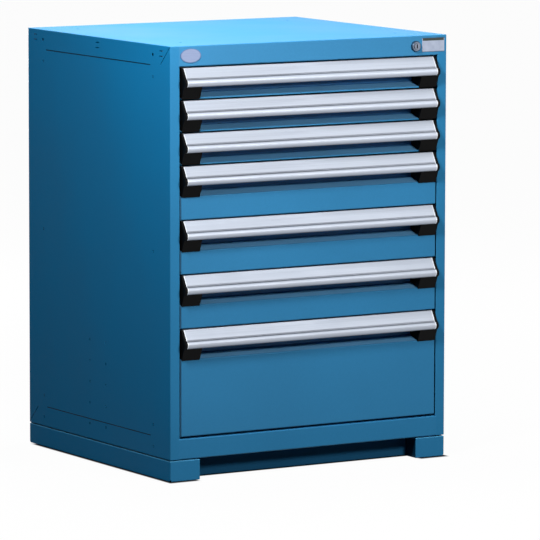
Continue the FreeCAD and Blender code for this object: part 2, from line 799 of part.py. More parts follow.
def carriage(height):
    """Left-hand carriage strip with its riveted axles."""
    half = CARRIAGE_HEIGHT / 2
    low = (-CARRIAGE_OUTER, RAIL_FRONT + CARRIAGE_GAP, height - half)
    high = (-CARRIAGE_INNER, RAIL_REAR - CARRIAGE_GAP, height + half)
    pieces = [box(low, high)]
    for places, start, end in axle_ends():
        for middle_y in places:
            pieces.append(cylinder("x", AXLE_DIAMETER / 2, start, end, (middle_y, height)))
    return joined(pieces)


def rollers(height):
    """Left-hand rollers of one carriage."""
    pieces = []
    bore = AXLE_DIAMETER / 2 + AXLE_CLEARANCE
    rows = [(rail_roller_places(), OUTER_ROLLERS), (runner_roller_places(), INNER_ROLLERS)]
    for places, start in rows:
        for middle_y in places:
            at = (middle_y, height)
            tyre = cylinder("x", ROLLER_DIAMETER / 2, start, start + ROLLER_WIDTH, at)
            pieces.append(tyre.cut(cylinder("x", bore, start, start + ROLLER_WIDTH, at)))
    return Part.makeCompound(pieces)


# Drawers

def runner(height):
    """Left-hand runner on a drawer's side, with its end stops."""
    section = [
        (-RUNNER_LIP, height + RAIL_HALF),
        (-PAN_SIDE, height + RAIL_HALF),
        (-PAN_SIDE, height - RAIL_HALF),
        (-RUNNER_LIP, height - RAIL_HALF),
    ]
    pieces = [folded(section, RAIL_SHEET, "y", RAIL_FRONT, PAN_REAR)]
    for start in (RAIL_FRONT, PAN_REAR - RAIL_STOP):
        low = (-RUNNER_LIP + ROLLER_GAP, start, height - RAIL_INSIDE - RAIL_SHEET / 2)
        high = (-PAN_SIDE - RAIL_SHEET / 2, start + RAIL_STOP, height + RAIL_INSIDE + RAIL_SHEET / 2)
        pieces.append(box(low, high))
    return joined(pieces)


def lock_catch(bottom):
    """Catch on the right of a drawer, whose lip the raised lock bar tab stands in front of."""
    high_z = bottom + CATCH_RISE + CATCH_SHEET
    lip_y = FRONT + BAR_TAB_SETBACK + BAR_TAB_DEPTH + CATCH_GAP
    low_y = lip_y + CATCH_SHEET - CATCH_DEPTH
    lip_z = bottom + BAR_TAB_RISE + BAR_TAB_THICKNESS + CATCH_CLEARANCE
    start = PAN_SIDE - PAN_SHEET / 2
    end = PAN_SIDE + CATCH_REACH
    plate = box((start, low_y, bottom + CATCH_RISE), (end, lip_y + CATCH_SHEET, high_z))
    lip = box((end - CATCH_REACH / 2, lip_y, lip_z), (end, lip_y + CATCH_SHEET, high_z))
    return [plate, lip]


def drawer_pan(bottom, pitch):
    """Open steel box of one drawer, with its runners and its lock catch."""
    low_z = bottom + PAN_FLOOR_GAP
    high_z = bottom + pitch - PAN_TOP_GAP
    rim_z = high_z - PAN_SHEET
    section = [
        (PAN_SIDE + PAN_RIM, rim_z),
        (PAN_SIDE, rim_z),
        (PAN_SIDE, low_z),
        (-PAN_SIDE, low_z),
        (-PAN_SIDE, rim_z),
        (-PAN_SIDE - PAN_RIM, rim_z),
    ]
    pieces = [folded(section, PAN_SHEET, "y", FRONT_WALL_BACK, PAN_REAR)]
    skin = PAN_SHEET / 2
    bend = BEND + PAN_SHEET
    for start in (FRONT_WALL_BACK, PAN_REAR - PAN_SHEET):
        end = start + PAN_SHEET
        pieces.append(box((-PAN_SIDE + skin, start, low_z + bend), (PAN_SIDE - skin, end, high_z)))
        pieces.append(box((-PAN_SIDE + bend, start, low_z + skin), (PAN_SIDE - bend, end, high_z)))
    left = runner(bottom + RAIL_RISE)
    pieces += [left, mirrored(left)]
    pieces += lock_catch(bottom)
    return joined(pieces)


def drawer_front(bottom, pitch):
    """Front sheet: flat face, sloping ledge, back of the finger recess, and the fold under the handle."""
    top = bottom + pitch
    deep = pitch - LEDGE_DROP > LEAST_FACE
    foot = bottom + (FRONT_GAP if deep else SHALLOW_GAP)
    wall = FRONT + RECESS_DEPTH
    ledge = top - LEDGE_DROP
    path = [
        (FRONT, foot),
        (FRONT, ledge),
        (wall, ledge + LEDGE_RISE),
        (wall, top - FRONT_TOP_DROP),
        (wall - FRONT_TOP_FLANGE, top - FRONT_TOP_DROP),
    ]
    if deep:
        path.insert(0, (FRONT_WALL_BACK, foot))
    sheet = folded(path, FRONT_SHEET, "x", -FRONT_END, FRONT_END)
    pieces = [sheet]
    if deep:
        skin = FRONT_SHEET / 2
        cheek = [
            (FRONT + skin, foot + skin),
            (FRONT_WALL_BACK, foot + skin),
            (FRONT_WALL_BACK, ledge + LEDGE_RISE),
            (wall, ledge + LEDGE_RISE - skin),
            (FRONT + skin, ledge - skin),
        ]
        left = prism(cheek, "x", -FRONT_END, -FRONT_END + FRONT_SHEET)
        pieces += [left, mirrored(left)]
    whole = joined(pieces)
    cut_z = top - FRONT_TOP_DROP - BEND
    notch = box((-FRONT_END, FRONT - RECESS_DEPTH, cut_z), (-FRONT_END + CAP_THICKNESS, wall, top))
    return whole.cut([notch, mirrored(notch)])


def slope_point(top, drop, outwards):
    """Point on the handle's sloping face at one drop below the drawer's top, moved out of the face."""
    angle = math.radians(HANDLE_SLOPE)
    start_y = FRONT + HANDLE_TOP_SETBACK - outwards / math.cos(angle)
    return (start_y - drop * math.tan(angle), top - drop)


def bead_point(top, angle_degrees, outwards):
    """Point on the rounded bead, by its angle in degrees."""
    radius = BEAD_RADIUS + outwards
    angle = math.radians(angle_degrees)
    centre_y = FRONT - HANDLE_PROJECTION + BEAD_RADIUS
    return (centre_y + radius * math.cos(angle), top - BEAD_DROP + radius * math.sin(angle))


def bead_start(top, outwards):
    """Where the sloping face runs into the bead."""
    radius = BEAD_RADIUS + outwards
    slope = math.radians(HANDLE_SLOPE)
    centre = bead_point(top, 0, -BEAD_RADIUS)
    on_face = slope_point(top, 0, outwards)
    along = (-math.sin(slope), -math.cos(slope))
    offset = (centre[0] - on_face[0], centre[1] - on_face[1])
    forward = offset[0] * along[0] + offset[1] * along[1]
    aside = math.sqrt(offset[0] ** 2 + offset[1] ** 2 - forward ** 2)
    reach = forward - math.sqrt(radius ** 2 - aside ** 2)
    return (on_face[0] + along[0] * reach, on_face[1] + along[1] * reach)


def handle_strip(top):
    """Aluminium strip: top lip, sloping face, fine groove and rounded finger bead."""
    back = FRONT + HANDLE_BACK_SETBACK
    slope = math.tan(math.radians(HANDLE_SLOPE))
    lip = top - HANDLE_TOP_DROP
    under = slope_point(top, HANDLE_TOP_DROP + HANDLE_LIP_SHEET, -HANDLE_WALL)
    inner_top = slope_point(top, 0, -HANDLE_WALL)
    back_top = (back, top - (inner_top[0] - back) / slope)
    lowest = bead_point(top, LOWEST, 0)
    chain = [
        (FRONT + HANDLE_LIP, lip),
        slope_point(top, HANDLE_TOP_DROP, 0),
        slope_point(top, GROOVE_DROP, 0),
        slope_point(top, GROOVE_DROP + HANDLE_GROOVE / 2, -HANDLE_GROOVE),
        slope_point(top, GROOVE_DROP + HANDLE_GROOVE * 2, -HANDLE_GROOVE),
        bead_point(top, BEAD_SHOULDER, 0),
    ]
    rest = [
        lowest,
        (back, lowest[1]),
        back_top,
        under,
        (FRONT + HANDLE_LIP, lip - HANDLE_LIP_SHEET),
        (FRONT + HANDLE_LIP, lip),
    ]
    front = [along_x(*point) for point in chain]
    edges = [line(a, b) for a, b in zip(front, front[1:])]
    middle = along_x(*bead_point(top, BEAD_ARC_POINT, 0))
    edges.append(Part.Arc(front[-1], middle, along_x(*lowest)).toShape())
    behind = [along_x(*point) for point in rest]
    edges += [line(a, b) for a, b in zip(behind, behind[1:])]
    end = FRONT_END - CAP_THICKNESS
    strip = extruded(edges, "x", -end, end)
    bore_at = bead_point(top, 0, -BEAD_RADIUS)
    return strip.cut(cylinder("x", HANDLE_BORE / 2, -end, end, bore_at))


def end_cap(top):
    """Left-hand moulded cap: a cheek that closes the handle's end, and a block in the finger recess."""
    wall = FRONT + RECESS_DEPTH
    ledge = top - LEDGE_DROP
    heel = ledge + LEDGE_RISE
    toe = [
        (FRONT + CAP_TOE_SETBACK, top - CAP_TOE_DROP),
        (FRONT, top - CAP_TOE_DROP),
        (FRONT, ledge),
        (wall - BEND, heel - BEND * LEDGE_RISE / RECESS_DEPTH),
        (wall, heel + BEND),
    ]
    rear_top = (wall, top - HANDLE_TOP_DROP)
    upper = [rear_top, slope_point(top, HANDLE_TOP_DROP, CAP_RIM), bead_start(top, CAP_RIM)]
    chin_angle = FOREMOST + math.degrees(math.acos(cap_chin_cosine()))
    chin = bead_point(top, chin_angle, CAP_RIM)
    front = [along_x(*point) for point in upper]
    edges = [line(a, b) for a, b in zip(front, front[1:])]
    middle = along_x(*bead_point(top, BEAD_ARC_POINT, CAP_RIM))
    edges.append(Part.Arc(front[-1], middle, along_x(*chin)).toShape())
    lower = [along_x(*point) for point in [chin] + toe + [rear_top]]
    edges += [line(a, b) for a, b in zip(lower, lower[1:])]
    start = -FRONT_END
    cheek = extruded(edges, "x", start, start + CAP_THICKNESS)
    shelf = bead_point(top, LOWEST, 0)[1]
    share = (shelf - chin[1]) / (toe[0][1] - chin[1])
    shelf_front = chin[0] + (toe[0][0] - chin[0]) * share
    section = [(shelf_front, shelf)] + toe + [(wall, shelf)]
    block = prism(section, "x", start + CAP_THICKNESS / 2, start + CAP_BLOCK_WIDTH)
    return joined([cheek, block])


def cap_chin_cosine():
    """Cosine of the angle, from foremost, at which the cap leaves the bead for its block."""
    centre_setback = BEAD_RADIUS - HANDLE_PROJECTION
    return (centre_setback - CAP_BLOCK_SETBACK) / (BEAD_RADIUS + CAP_RIM)


# Lock

def lock_housing():
    """Collar and threaded barrel of the lock, with the nut behind the strip."""
    at = (LOCK_X, LOCK_Z)
    collar = cylinder("y", LOCK_COLLAR / 2, FRONT - LOCK_COLLAR_LENGTH, FRONT, at)
    front = FRONT - LOCK_COLLAR_LENGTH
    rim = [edge for edge in collar.Edges if edge.BoundBox.YMax < front + SLACK]
    collar = collar.makeChamfer(SHEET, rim)
    barrel = cylinder("y", LOCK_BARREL / 2, front + SHEET, FRONT + LOCK_BARREL_LENGTH, at)
    bore_radius = PLUG_DIAMETER / 2 + PLUG_CLEARANCE
    bore = cylinder("y", bore_radius, front - SHEET, FRONT + LOCK_BARREL_LENGTH + SHEET, at)
    body = joined([collar, barrel]).cut(bore)
    nut_start = FRONT + SHEET
    nut = hexagon("y", LOCK_NUT_FLATS, nut_start, nut_start + LOCK_NUT_LENGTH, at)
    nut = nut.cut(cylinder("y", LOCK_BARREL / 2, nut_start, nut_start + LOCK_NUT_LENGTH, at))
    return Part.makeCompound([body, nut])


def lock_plug():
    """Turning plug with its key slot, and the crank at its inner end."""
    at = (LOCK_X, LOCK_Z)
    front = FRONT - LOCK_COLLAR_LENGTH - PLUG_PROUD
    body = cylinder("y", PLUG_DIAMETER / 2, front, FRONT + CRANK_SETBACK + CRANK_THICKNESS, at)
    half = LOCK_LIFT / 2
    pin_start = FRONT + CRANK_SETBACK + CRANK_THICKNESS / 2
    pin_end = FRONT + CRANK_SETBACK + CRANK_THICKNESS + CRANK_PIN_LENGTH
    pin = cylinder("y", CRANK_PIN / 2, pin_start, pin_end, (LOCK_X - half, LOCK_Z + half))
    low = (LOCK_X - KEY_SLOT_WIDTH / 2, front, LOCK_Z - KEY_SLOT_LENGTH / 2)
    high = (LOCK_X + KEY_SLOT_WIDTH / 2, front + KEY_SLOT_DEPTH, LOCK_Z + KEY_SLOT_LENGTH / 2)
    return joined([body, pin]).cut(box(low, high))


def bar_pin_place():
    """Middle of the lock bar's pin, with the bar down."""
    return (BAR_OUTER + BAR_THICKNESS / 2, LOCK_Z - LOCK_LIFT / 2)


def lock_link():
    """Flat link behind the top strip: an upright slot for the crank, a sloping one for the bar's pin."""
    pin_x, pin_z = bar_pin_place()
    start_y = FRONT + LINK_SETBACK
    end_y = start_y + LINK_THICKNESS
    half = LINK_HEIGHT / 2
    crank_x = LOCK_X - LOCK_LIFT / 2
    low = (crank_x - LINK_END, start_y, LOCK_Z - half)
    plate = box(low, (pin_x + LINK_END - CRANK_PIN, end_y, LOCK_Z + half))
    slot_half = CRANK_PIN / 2 + LINK_CLEARANCE
    crank_low = LOCK_Z + CRANK_RADIUS * math.cos(CRANK_HALF_SWING)
    crank_high = LOCK_Z + CRANK_RADIUS
    crank_slot = box(
        (crank_x - slot_half, start_y, crank_low - slot_half),
        (crank_x + slot_half, end_y, crank_high + slot_half),
    )
    radius = BAR_PIN / 2 + LINK_CLEARANCE
    far = (pin_x - LOCK_LIFT, pin_z + LOCK_LIFT)
    near_end = cylinder("y", radius, start_y, end_y, (pin_x, pin_z))
    far_end = cylinder("y", radius, start_y, end_y, far)
    side = radius / math.sqrt(2)
    run = [
        (pin_x + side, pin_z + side),
        (far[0] + side, far[1] + side),
        (far[0] - side, far[1] - side),
        (pin_x - side, pin_z - side),
    ]
    return plate.cut([crank_slot, near_end, far_end, prism(run, "y", start_y, end_y)])


def lock_bar():
    """Upright bar inside the right front post, with a tab for each drawer's catch."""
    start_y = FRONT + BAR_SETBACK
    foot = BASE_HEIGHT + SHEET + BAR_FOOT_GAP
    low = (BAR_OUTER, start_y, foot)
    high = (BAR_OUTER + BAR_THICKNESS, start_y + BAR_DEPTH, LOCK_Z + BAR_TOP_RISE)
    pieces = [box(low, high)]
    for bottom in drawer_bottoms():
        tab_z = bottom + BAR_TAB_RISE
        low = (FRONT_END - BAR_TAB_REACH, FRONT + BAR_TAB_SETBACK, tab_z)
        high = (BAR_OUTER + BAR_THICKNESS / 2, low[1] + BAR_TAB_DEPTH, tab_z + BAR_TAB_THICKNESS)
        pieces.append(box(low, high))
    pin_front = FRONT + LINK_SETBACK - LINK_CLEARANCE
    pin_end = start_y + BAR_THICKNESS
    pieces.append(cylinder("y", BAR_PIN / 2, pin_front, pin_end, bar_pin_place()))
    return joined(pieces)


# Plates on the top strip

def badge_plate():
    """Blank oval plate at the left of the top strip."""
    centre = Vector(-HALF + BADGE_FROM_SIDE, FRONT, TOP - PLATE_DROP)
    oval = Part.Ellipse(centre, BADGE_WIDTH / 2, BADGE_HEIGHT / 2)
    oval.Axis = Vector(0, -1, 0)
    face = Part.Face(Part.Wire(oval.toShape()))
    return face.extrude(Vector(0, -BADGE_THICKNESS, 0))


def label_card():
    """Blank card at the right of the top strip."""
    middle_x = HALF - CARD_FROM_SIDE
    middle_z = TOP - PLATE_DROP
    low = (middle_x - CARD_WIDTH / 2, FRONT - CARD_THICKNESS, middle_z - CARD_HEIGHT / 2)
    high = (middle_x + CARD_WIDTH / 2, FRONT, middle_z + CARD_HEIGHT / 2)
    return box(low, high)


# Building everything

def build_housing():
    """The housing, its base, and everything fixed to them."""
    left = side_panel()
    save("side_panel_left", left)
    save("side_panel_right", mirrored(left))
    save("top_panel", top_panel())
    save("back_panel", back_panel())
    save("floor_panel", floor_panel())
    left_base = base_side()
    save("base_side_left", left_base)
    save("base_side_right", mirrored(left_base))
    save("base_kick_panel", kick_panel())
    save("base_rear_rail", base_rear_rail())
    save("base_bolts", base_bolts())
    save("rail_posts", rail_posts())
    save("cabinet_rails", cabinet_rails())
    save("lock_housing", lock_housing())
    save("badge_plate", badge_plate())
    save("label_card", label_card())


def build_lock():
    """The lock's moving pieces."""
    save("lock_plug", lock_plug())
    save("lock_link", lock_link())
    save("lock_bar", lock_bar())


def build_drawers():
    """Every drawer, and the roller carriages that carry it."""
    for number, (bottom, pitch) in enumerate(zip(drawer_bottoms(), DRAWER_PITCHES), start=1):
        name = "drawer_" + str(number)
        top = bottom + pitch
        save(name + "_pan", drawer_pan(bottom, pitch))
        save(name + "_front", drawer_front(bottom, pitch))
        save(name + "_handle", handle_strip(top))
        save(name + "_end_caps", pair(end_cap(top)))
        save(name + "_carriages", pair(carriage(bottom + RAIL_RISE)))
        save(name + "_rollers", pair(rollers(bottom + RAIL_RISE)))


os.makedirs("parts", exist_ok=True)
build_housing()
build_lock()
build_drawers()
print("drawer travel", round(TRAVEL, 2), "carriage travel", round(CARRIAGE_TRAVEL, 2))
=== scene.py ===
"""Looks of the modular drawer cabinet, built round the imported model. Metres."""
import json
import math

import bpy
from mathutils import Matrix, Vector


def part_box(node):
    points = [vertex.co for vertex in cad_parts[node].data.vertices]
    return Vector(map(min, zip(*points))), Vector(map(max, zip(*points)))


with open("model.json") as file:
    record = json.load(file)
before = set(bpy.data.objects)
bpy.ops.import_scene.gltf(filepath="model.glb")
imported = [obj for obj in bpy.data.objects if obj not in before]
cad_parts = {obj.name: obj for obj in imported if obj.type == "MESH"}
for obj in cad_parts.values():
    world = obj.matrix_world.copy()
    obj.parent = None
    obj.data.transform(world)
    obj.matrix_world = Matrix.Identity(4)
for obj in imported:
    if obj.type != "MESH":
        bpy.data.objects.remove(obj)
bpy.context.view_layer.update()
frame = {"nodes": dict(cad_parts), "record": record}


def middle(node):
    """Middle of a CAD node's box."""
    low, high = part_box(node)
    return (low + high) / 2


def half_size(node):
    """Half the size of a CAD node's box along each axis."""
    low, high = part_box(node)
    return (high - low) / 2


# Sizes that no box shows: the gap above the base's outer wall, and the sheet of the drawer fronts
SHADOW_GAP = 0.0024
FRONT_SHEET = 0.0012

# Places and sizes of the cabinet's outer skins, its lock and its plates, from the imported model
SIDE_LOW, SIDE_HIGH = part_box("side_panel_right")
BASE_LOW, BASE_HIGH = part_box("base_side_right")
FRONT = SIDE_LOW.y
BACK = SIDE_HIGH.y
HALF_WIDTH = SIDE_HIGH.x
FOOT_INSIDE = BASE_LOW.x
BASE_SHOULDER = BASE_HIGH.z - SHADOW_GAP
KICK_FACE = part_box("base_kick_panel")[0].y
HANDLE_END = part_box("drawer_1_handle")[1].x
RECESS_DEPTH = half_size("drawer_1_front").y * 2 - FRONT_SHEET
LOCK = middle("lock_plug")
BADGE = middle("badge_plate")
BADGE_HALF = half_size("badge_plate")
CARD = middle("label_card")
CARD_HALF = half_size("label_card")
DRAWER_COUNT = 7

# Camera, as fitted to the photograph
CAMERA_PLACE = Vector((-5.9250, -9.88198, 1.86921))
CAMERA_AZIMUTH = math.radians(31.337)
CAMERA_DROP = math.radians(7.078)
CAMERA_ROLL = math.radians(0.119)
CAMERA_LENS = 320.43
CAMERA_SENSOR = 36
CAMERA_REACH = 100


def add_camera():
    """Camera with the photograph's place, direction and frame."""
    level_share = math.cos(CAMERA_DROP)
    ahead = Vector((
        math.sin(CAMERA_AZIMUTH) * level_share,
        math.cos(CAMERA_AZIMUTH) * level_share,
        -math.sin(CAMERA_DROP),
    ))
    level = Vector((math.cos(CAMERA_AZIMUTH), -math.sin(CAMERA_AZIMUTH), 0))
    upright = level.cross(ahead)
    right = level * math.cos(CAMERA_ROLL) + upright * math.sin(CAMERA_ROLL)
    up = upright * math.cos(CAMERA_ROLL) - level * math.sin(CAMERA_ROLL)
    data = bpy.data.cameras.new("camera")
    data.lens = CAMERA_LENS
    data.sensor_width = CAMERA_SENSOR
    data.clip_end = CAMERA_REACH
    camera = bpy.data.objects.new("camera", data)
    bpy.context.scene.collection.objects.link(camera)
    turn = Matrix((right, up, -ahead)).transposed().to_4x4()
    camera.matrix_world = Matrix.Translation(CAMERA_PLACE) @ turn
    bpy.context.scene.camera = camera


# Node tools

# Sockets of the mix node for colours, which share their names with its sockets for numbers
MIX_FACTOR = 0
MIX_FIRST = 6
MIX_SECOND = 7
MIX_RESULT = 2

# Range that most of a noise lies in
NOISE_LOW = 0.3
NOISE_HIGH = 0.7


class Nodes:
    """Adds nodes to one material or world, and links them. Colours are red, green and blue."""

    def __init__(self, owner):
        owner.use_nodes = True
        self.owner = owner
        self.tree = owner.node_tree
        self.tree.nodes.clear()

    def add(self, kind, values=None, **settings):
        """Node of a kind with its settings, and with each input set or linked."""
        made = self.tree.nodes.new(kind)
        for name, value in settings.items():
            setattr(made, name, value)
        for name, value in (values or {}).items():
            socket = made.inputs[name]
            if isinstance(value, bpy.types.NodeSocket):
                self.tree.links.new(value, socket)
            elif socket.type == "RGBA":
                socket.default_value = (*value, 1.0)
            else:
                socket.default_value = value
        return made

    def coordinates(self, scale=(1, 1, 1)):
        """Places on the piece itself, stretched by a scale along each axis."""
        source = self.add("ShaderNodeTexCoord").outputs["Object"]
        return self.add("ShaderNodeMapping", {"Vector": source, "Scale": scale}).outputs["Vector"]

    def noise(self, vector, scale, detail=2.0, roughness=0.5):
        values = {"Vector": vector, "Scale": scale, "Detail": detail, "Roughness": roughness}
        return self.add("ShaderNodeTexNoise", values).outputs["Fac"]

    def mapped(self, value, start, end, low, high):
        """Number that goes from low to high as a value goes from start to end, and stays there."""
        values = {"Value": value, "From Min": start, "From Max": end, "To Min": low, "To Max": high}
        return self.add("ShaderNodeMapRange", values).outputs["Result"]

    def between(self, noise, low, high):
        """Number that goes from low to high over a noise."""
        return self.mapped(noise, NOISE_LOW, NOISE_HIGH, low, high)

    def ramp(self, value, stretch, low=0.0, high=1.0):
        """Number that goes from low to high over a stretch, given as its start and its end."""
        start, end = stretch
        return self.mapped(value, start, end, low, high)

    def blend(self, factor, first, second):
        """Colour between two colours."""
        values = {MIX_FACTOR: factor, MIX_FIRST: first, MIX_SECOND: second}
        return self.add("ShaderNodeMix", values, data_type="RGBA").outputs[MIX_RESULT]

    def shades(self, noise, dark, light):
        """Colour that goes from dark to light over a noise."""
        return self.blend(self.between(noise, 0, 1), dark, light)

    def math(self, operation, first, second=0.0):
        return self.add("ShaderNodeMath", {0: first, 1: second}, operation=operation).outputs[0]

    def tinted(self, colour, factor):
        """Colour made lighter or darker by a factor."""
        values = {0: colour, "Scale": factor}
        return self.add("ShaderNodeVectorMath", values, operation="SCALE").outputs["Vector"]

    def along(self, axis, start=0.0):
        """Place along one axis of the piece, counted from a start."""
        source = self.add("ShaderNodeTexCoord").outputs["Object"]
        place = self.add("ShaderNodeSeparateXYZ", {0: source}).outputs[axis]
        return self.math("SUBTRACT", place, start)

    def away(self, axis, centre=0.0):
        """Distance from a centre along one axis of the piece, to either side."""
        return self.math("ABSOLUTE", self.along(axis, centre))

    def sum_of_squares(self, first, second):
        return self.math("ADD", self.math("POWER", first, 2), self.math("POWER", second, 2))

    def showing_rays(self):
        """1 for rays that show a thing to the camera, straight, mirrored or through glass, and else 0."""
        rays = self.add("ShaderNodeLightPath").outputs
        seen = self.math("MAXIMUM", rays["Is Camera Ray"], rays["Is Glossy Ray"])
        return self.math("MAXIMUM", seen, rays["Is Transmission Ray"])

    def bump(self, height, strength, distance):
        values = {"Height": height, "Strength": strength, "Distance": distance}
        return self.add("ShaderNodeBump", values).outputs["Normal"]

    def surface(self, values):
        """Shader with its values on the material, which is handed back."""
        shader = self.add("ShaderNodeBsdfPrincipled", values)
        self.add("ShaderNodeOutputMaterial", {"Surface": shader.outputs["BSDF"]})
        return self.owner


def scaled(colour, factor):
    return tuple(part * factor for part in colour)


def grey(level):
    return (level, level, level)


# Paint

SIDE_BLUE = (0.008, 0.262, 0.590)
# Greyer than the side's blue, as painted haze of reflected light on the faces that look forward
FRONT_BLUE = (0.038, 0.268, 0.540)
# Darker blue on the recessed kick panel, as painted shade under the overhang
KICK_SHADE_BLUE = (0.018, 0.125, 0.260)
# Greyer than the top's blue, as painted haze of reflected light on the front of the top strip
STRIP_BLUE = (0.052, 0.277, 0.538)
TOP_BLUE = (0.020, 0.266, 0.552)
# Painted light on the finger recess's ledge, and painted shade on its wall
LEDGE_LIT_BLUE = (0.135, 0.370, 0.620)
RECESS_SHADE_BLUE = (0.030, 0.160, 0.380)
# Painted highlight along the base's shoulder
SHOULDER_BLUE = (0.12, 0.48, 0.78)

# Indices of refraction, low because a normal one gives the sides a white haze
SIDE_IOR = 1.1
SHEET_IOR = 1.2
DRAWER_IOR = 1.3

# Each stretch is where a tone starts to come in and where it is full. These are counted back from the
# front skin: that skin itself, and the ledge, wall and back of a finger recess
FRONT_SKIN = (0.003, 0.0005)
LEDGE_START = (0.0008, 0.004)
RECESS_WALL = (RECESS_DEPTH - 0.0055, RECESS_DEPTH - 0.0025)
RECESS_BACK = (RECESS_DEPTH + 0.0010, RECESS_DEPTH + 0.0006)

# Counted back from the back skin, in from the outer face of a side, and up from the base's shoulder, so
# that the first and the last are below 0
CLEAR_OF_BACK = (-0.003, -0.006)
MARK_DEPTH = (0.0009, 0.0003)
SHOULDER_EDGE = (-0.0022, -0.0012)

# Share of unshaded paint left in a mark's painted shade, and of the pale tone of the painted highlight on
# the base's shoulder
MARK_UNSHADED_SHARE = 0.12
SHOULDER_SHARE = 0.6


def paint(name, ior, colour, *layers):
    """Satin powder coat with fine orange peel and faint clouds. Each layer alters the tone."""
    nodes = Nodes(bpy.data.materials.new(name))
    place = nodes.coordinates()
    cloud = nodes.noise(place, scale=3.5)
    speck = nodes.noise(place, scale=260)
    peel = nodes.noise(place, scale=420, roughness=0.6)
    tone = colour
    for layer in layers:
        tone = layer(nodes, tone)
    tone = nodes.tinted(tone, nodes.between(cloud, 0.96, 1.05))
    tone = nodes.tinted(tone, nodes.between(speck, 1.0, 1.04))
    return nodes.surface({
        "Base Color": tone,
        "Roughness": nodes.between(cloud, 0.38, 0.47),
        "IOR": ior,
        "Normal": nodes.bump(peel, strength=0.12, distance=0.0004),
    })


def marks_painted_shade(nodes, tone):
    """Painted shade: dark floors in the shallow marks of the sides."""
    depth = nodes.math("SUBTRACT", HALF_WIDTH, nodes.away("X"))
    depth = nodes.math("MULTIPLY", depth, nodes.ramp(nodes.along("Y", BACK), CLEAR_OF_BACK))
    shaded_tone = nodes.tinted(tone, nodes.ramp(depth, MARK_DEPTH))
    return nodes.blend(MARK_UNSHADED_SHARE, shaded_tone, tone)


def hazed_front_skin(colour):
    """Layer with a greyer colour on the front skin, as painted haze of reflected light."""
    def layer(nodes, tone):
        return nodes.blend(nodes.ramp(nodes.along("Y", FRONT), FRONT_SKIN), tone, colour)
    return layer


def shoulder_highlight(nodes, tone):
    """Painted highlight: a paler line along the upper edge of the base's outer wall."""
    edge = nodes.ramp(nodes.along("Z", BASE_SHOULDER), SHOULDER_EDGE, high=SHOULDER_SHARE)
    return nodes.blend(edge, tone, SHOULDER_BLUE)


def finger_recess(nodes, tone):
    """Painted light and shade in the recess of a drawer front: a greyer, lighter ledge for light thrown on
    it from the handle, and a darker wall for the shade behind the handle.
    """
    behind = nodes.along("Y", FRONT)
    inside = nodes.blend(nodes.ramp(behind, LEDGE_START), tone, LEDGE_LIT_BLUE)
    inside = nodes.blend(nodes.ramp(behind, RECESS_WALL), inside, RECESS_SHADE_BLUE)
    return nodes.blend(nodes.ramp(behind, RECESS_BACK), tone, inside)


# Handles, caps, steel and rollers

HANDLE_DARK = (0.43, 0.465, 0.53)
HANDLE_LIGHT = (0.49, 0.53, 0.60)
# Painted shade in the handle's groove, and a painted highlight on its cut ends
HANDLE_GROOVE_SHADE = (0.09, 0.09, 0.10)
HANDLE_CUT_HIGHLIGHT = (0.75, 0.78, 0.82)
CAP_BLACK = (0.0022, 0.0022, 0.0023)
ROLLER_WHITE = (0.72, 0.70, 0.64)
ZINC_DARK = (0.50, 0.51, 0.53)
ZINC_LIGHT = (0.68, 0.69, 0.71)

# How fine the drawing lines and the rolling marks are along each axis
DRAWING = (2, 700, 700)
ROLLING = (40, 3, 500)

# Both edges of the groove's painted shade, counted ahead from the front skin, the cut end's painted
# highlight, counted out from the end of the handle, and the heights between which the painted shade on the
# handles fades out
GROOVE_BACK = (0.0106, 0.0112)
GROOVE_FRONT = (0.0158, 0.0145)
CUT_END = (-0.0026, -0.0018)
HANDLE_HEIGHTS = (0.35, 0.85)

# Strength of the groove's painted shade, how light the lowest handle is under its painted shade, how light
# the posts are under theirs, and how light the plastic's clouds are
GROOVE_SHADE_SHARE = 0.55
LOWEST_HANDLE_SHADE = 0.90
POST_SHADE_LEVEL = 0.12
PLASTIC_DARK = 0.85
PLASTIC_LIGHT = 1.2


def aluminium(name):
    """Satin aluminium drawn along X, with painted shade in the groove, painted highlights on the cut ends,
    and painted shade that darkens it lower down.
    """
    nodes = Nodes(bpy.data.materials.new(name))
    drawn = nodes.noise(nodes.coordinates(DRAWING), scale=1.0, detail=3.0, roughness=0.6)
    cloud = nodes.noise(nodes.coordinates(), scale=9)
    tone = nodes.shades(drawn, HANDLE_DARK, HANDLE_LIGHT)
    ahead = nodes.math("SUBTRACT", FRONT, nodes.along("Y"))
    groove = nodes.math("MULTIPLY", nodes.ramp(ahead, GROOVE_BACK), nodes.ramp(ahead, GROOVE_FRONT))
    tone = nodes.blend(nodes.math("MULTIPLY", groove, GROOVE_SHADE_SHARE), tone, HANDLE_GROOVE_SHADE)
    tone = nodes.tinted(tone, nodes.ramp(nodes.along("Z"), HANDLE_HEIGHTS, low=LOWEST_HANDLE_SHADE))
    past_end = nodes.math("SUBTRACT", nodes.away("X"), HANDLE_END)
    tone = nodes.blend(nodes.ramp(past_end, CUT_END), tone, HANDLE_CUT_HIGHLIGHT)
    return nodes.surface({
        "Base Color": tone,
        "Metallic": 1.0,
        "Roughness": nodes.between(cloud, 0.58, 0.66),
        "Anisotropic": 0.3,
        "Normal": nodes.bump(drawn, strength=0.08, distance=0.0003),
    })


